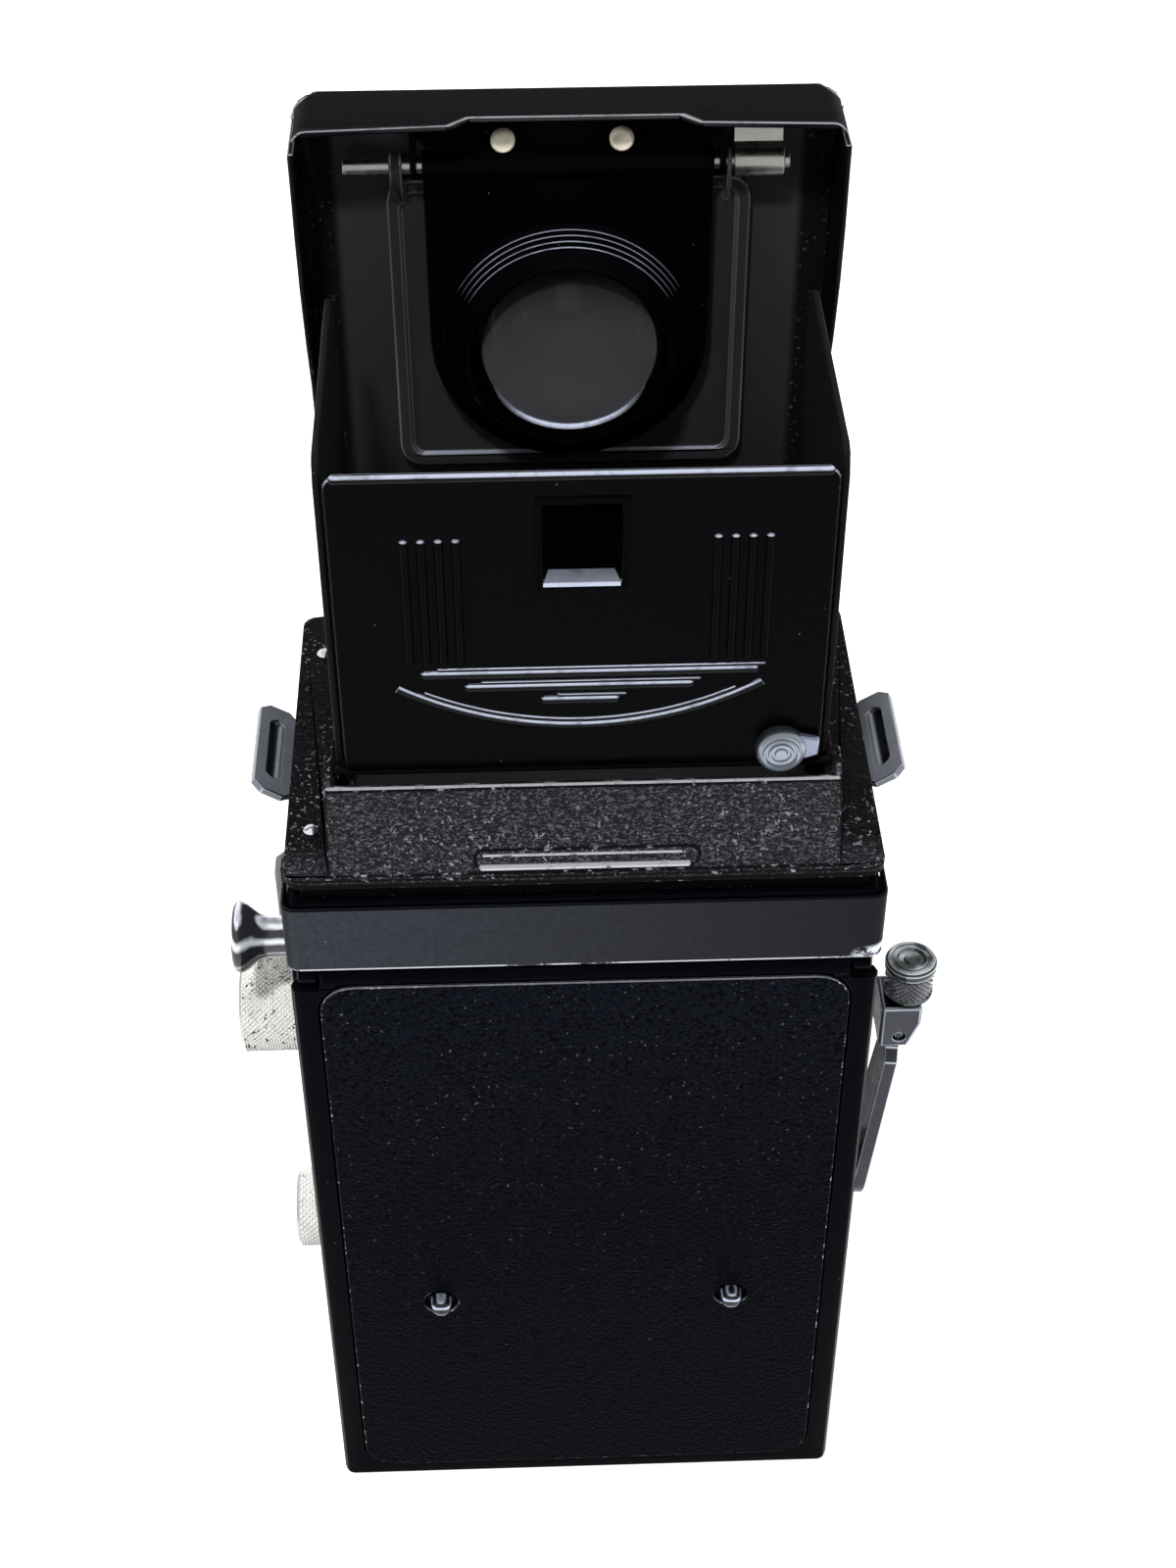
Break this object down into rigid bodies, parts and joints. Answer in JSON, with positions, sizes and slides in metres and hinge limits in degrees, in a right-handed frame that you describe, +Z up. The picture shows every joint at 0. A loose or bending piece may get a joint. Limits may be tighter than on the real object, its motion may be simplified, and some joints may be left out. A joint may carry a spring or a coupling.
{
  "type": "twin lens reflex camera",
  "caption": "Twin lens reflex camera for roll film with an open folding waist-level hood, magnifier, winding crank, focusing knob and hinged back.",
  "frame": {"origin": "on the face of the tripod boss under the base, 6 mm behind the tripod hole's centre, midway between the sides", "axes": "+Z up, -Y the way the lenses look, +Y towards the hinged back, +X the side with the focusing knob"},
  "size_m": [0.0983, 0.0871, 0.2042],
  "materials": {
    "black_paint": "semi-gloss black enamel, edges worn bright",
    "gloss_black": "gloss black enamel",
    "wrinkle_black": "black wrinkle paint",
    "matte_black": "matt black paint",
    "leather": "black grained leather",
    "chrome": "polished chrome",
    "satin_chrome": "satin chrome",
    "aluminium": "pale anodised, knurled",
    "brass": "turned brass",
    "steel": "bright steel",
    "glass": "polished lens glass",
    "mirror": "front-silvered mirror",
    "screen_glass": "ground glass",
    "spool_plastic": "black moulded spool"
  },
  "bodies": {
    "body": {"body_casting": "black_paint", "hinge_cover_strip": "black_paint", "side_cover_left": "leather", "side_cover_right": "leather", "crank_side_plate": "satin_chrome", "front_apron": "leather", "release_bush": "chrome", "flash_terminal": "chrome", "strap_lug_left": "chrome", "strap_lug_right": "chrome", "accessory_shoe": "satin_chrome", "door_hinge_pin": "steel", "hood_frame": "wrinkle_black", "focusing_screen": "screen_glass", "reflex_mirror": "mirror", "hood_lid": "gloss_black", "magnifier_bracket": "gloss_black", "bracket_rivet_left": "brass", "bracket_rivet_right": "brass", "magnifier_rod": "chrome", "rod_clip": "chrome"},
    "door": {"door_shell": "black_paint", "door_leather": "leather", "door_foot_left": "chrome", "door_foot_right": "chrome"},
    "door_lock": {"door_lock_ring": "satin_chrome"},
    "film_pressure": {"pressure_plate": "matte_black"},
    "upper_knob": {"upper_spool_knob": "chrome"},
    "lower_knob": {"lower_spool_knob": "aluminium"},
    "take_up": {"take_up_spool": "spool_plastic", "take_up_gear": "brass"},
    "supply": {"supply_spool": "spool_plastic"},
    "roller": {"film_roller": "steel"},
    "focus": {"focus_knob": "aluminium"},
    "crank": {"crank_hub": "chrome", "crank_arm": "satin_chrome"},
    "crank_handle": {"crank_yoke": "satin_chrome"},
    "grip": {"crank_grip": "chrome"},
    "lower_idler": {"idler_gear_lower": "brass"},
    "upper_idler": {"idler_gear_upper": "brass"},
    "front": {"lens_board": "black_paint", "front_leather": "leather", "shutter_housing": "satin_chrome", "taking_lens_barrel": "chrome", "taking_front_glass": "glass", "taking_rear_barrel": "matte_black", "taking_rear_glass": "glass", "viewing_lens_barrel": "chrome", "viewing_lens_glass": "glass"},
    "speed": {"speed_lever": "chrome"},
    "aperture": {"aperture_lever": "chrome"},
    "release": {"release_button": "chrome"},
    "hood_left": {"hood_side_left": "black_paint"},
    "hood_right": {"hood_side_right": "black_paint"},
    "hood_rear": {"hood_rear_panel": "gloss_black"},
    "latch": {"hood_latch": "aluminium"},
    "finder_flap": {"sports_flap": "matte_black"},
    "magnifier": {"magnifier_plate": "gloss_black", "magnifier_ring": "gloss_black", "magnifier_lens": "glass"}
  },
  "joints": [
    {"name": "door_open", "type": "hinge", "parent": "body", "child": "door", "pos_m": [0, 0.0251, 0.1118], "axis": [1, 0, 0], "range_deg": [0, 95]},
    {"name": "door_lock_turn", "type": "hinge", "parent": "door", "child": "door_lock", "pos_m": [0, -0.006, 0.001], "axis": [0, 0, 1], "range_deg": [0, 90]},
    {"name": "pressure_plate_push", "type": "slide", "parent": "door", "child": "film_pressure", "axis": [0, 1, 0], "range_m": [0, 0.0008], "stiffness_N_per_m": 600, "springref_m": -0.001},
    {"name": "upper_knob_pull", "type": "slide", "parent": "body", "child": "upper_knob", "axis": [1, 0, 0], "range_m": [0, 0.006], "stiffness_N_per_m": 120, "springref_m": -0.006},
    {"name": "lower_knob_pull", "type": "slide", "parent": "body", "child": "lower_knob", "axis": [1, 0, 0], "range_m": [0, 0.006], "stiffness_N_per_m": 120, "springref_m": -0.006},
    {"name": "crank_turn", "type": "hinge", "parent": "body", "child": "crank", "pos_m": [-0.0386, 0.005, 0.04733], "axis": [-1, 0, 0], "continuous": true},
    {"name": "lower_idler_turn", "type": "hinge", "parent": "body", "child": "lower_idler", "pos_m": [-0.0355, 0.00707, 0.06656], "axis": [-1, 0, 0], "continuous": true},
    {"name": "upper_idler_turn", "type": "hinge", "parent": "body", "child": "upper_idler", "pos_m": [-0.0355, 0.00913, 0.08578], "axis": [-1, 0, 0], "continuous": true},
    {"name": "take_up_turn", "type": "hinge", "parent": "body", "child": "take_up", "pos_m": [0, 0.0112, 0.105], "axis": [-1, 0, 0], "continuous": true},
    {"name": "supply_turn", "type": "hinge", "parent": "body", "child": "supply", "pos_m": [0, -0.011, 0.0205], "axis": [1, 0, 0], "continuous": true},
    {"name": "roller_turn", "type": "hinge", "parent": "body", "child": "roller", "pos_m": [0, 0.0176, 0.0296], "axis": [1, 0, 0], "continuous": true},
    {"name": "handle_fold", "type": "hinge", "parent": "crank", "child": "crank_handle", "pos_m": [-0.04559, 0.005, 0.07883], "axis": [0, -1, 0], "range_deg": [0, 90]},
    {"name": "grip_spin", "type": "hinge", "parent": "crank_handle", "child": "grip", "pos_m": [-0.04679, 0.005, 0.08763], "axis": [0, 0, 1], "continuous": true},
    {"name": "focus_travel", "type": "slide", "parent": "body", "child": "front", "axis": [0, -1, 0], "range_m": [0, 0.004]},
    {"name": "focus_knob_turn", "type": "hinge", "parent": "body", "child": "focus", "pos_m": [0.0375, 0.005, 0.0855], "axis": [1, 0, 0], "range_deg": [0, 260]},
    {"name": "speed_set", "type": "hinge", "parent": "front", "child": "speed", "pos_m": [0, -0.041, 0.062], "axis": [0, 1, 0], "range_deg": [0, 48]},
    {"name": "aperture_set", "type": "hinge", "parent": "front", "child": "aperture", "pos_m": [0, -0.041, 0.062], "axis": [0, -1, 0], "range_deg": [0, 48]},
    {"name": "release_press", "type": "slide", "parent": "body", "child": "release", "axis": [0, 1, 0], "range_m": [0, 0.003], "stiffness_N_per_m": 200, "springref_m": -0.002},
    {"name": "hood_left_fold", "type": "hinge", "parent": "body", "child": "hood_left", "pos_m": [0.03, -0.007, 0.135], "axis": [0, -1, 0], "range_deg": [0, 90], "stiffness_Nm_per_rad": 0.004, "springref_deg": -68.75},
    {"name": "hood_right_fold", "type": "hinge", "parent": "body", "child": "hood_right", "pos_m": [-0.03, -0.007, 0.137], "axis": [0, 1, 0], "range_deg": [0, 90], "stiffness_Nm_per_rad": 0.004, "springref_deg": -68.75},
    {"name": "hood_rear_fold", "type": "hinge", "parent": "body", "child": "hood_rear", "pos_m": [0, 0.018, 0.14], "axis": [1, 0, 0], "range_deg": [0, 90], "stiffness_Nm_per_rad": 0.004, "springref_deg": -68.75},
    {"name": "latch_turn", "type": "hinge", "parent": "hood_rear", "child": "latch", "pos_m": [-0.0242, 0.018, 0.1432], "axis": [0, 1, 0], "range_deg": [0, 25]},
    {"name": "finder_flap_swing", "type": "hinge", "parent": "body", "child": "finder_flap", "pos_m": [0, -0.031, 0.196], "axis": [-1, 0, 0], "range_deg": [-80, 0]},
    {"name": "magnifier_flip", "type": "hinge", "parent": "finder_flap", "child": "magnifier", "pos_m": [0, -0.031, 0.196], "axis": [1, 0, 0], "range_deg": [0, 90]}
  ],
  "couplings": [
    {"joint": "lower_idler_turn", "follows": "crank_turn", "ratio": -1},
    {"joint": "upper_idler_turn", "follows": "crank_turn", "ratio": 1},
    {"joint": "take_up_turn", "follows": "crank_turn", "ratio": -1},
    {"joint": "focus_knob_turn", "follows": "focus_travel", "rad_per_m": 1134.4}
  ]
}
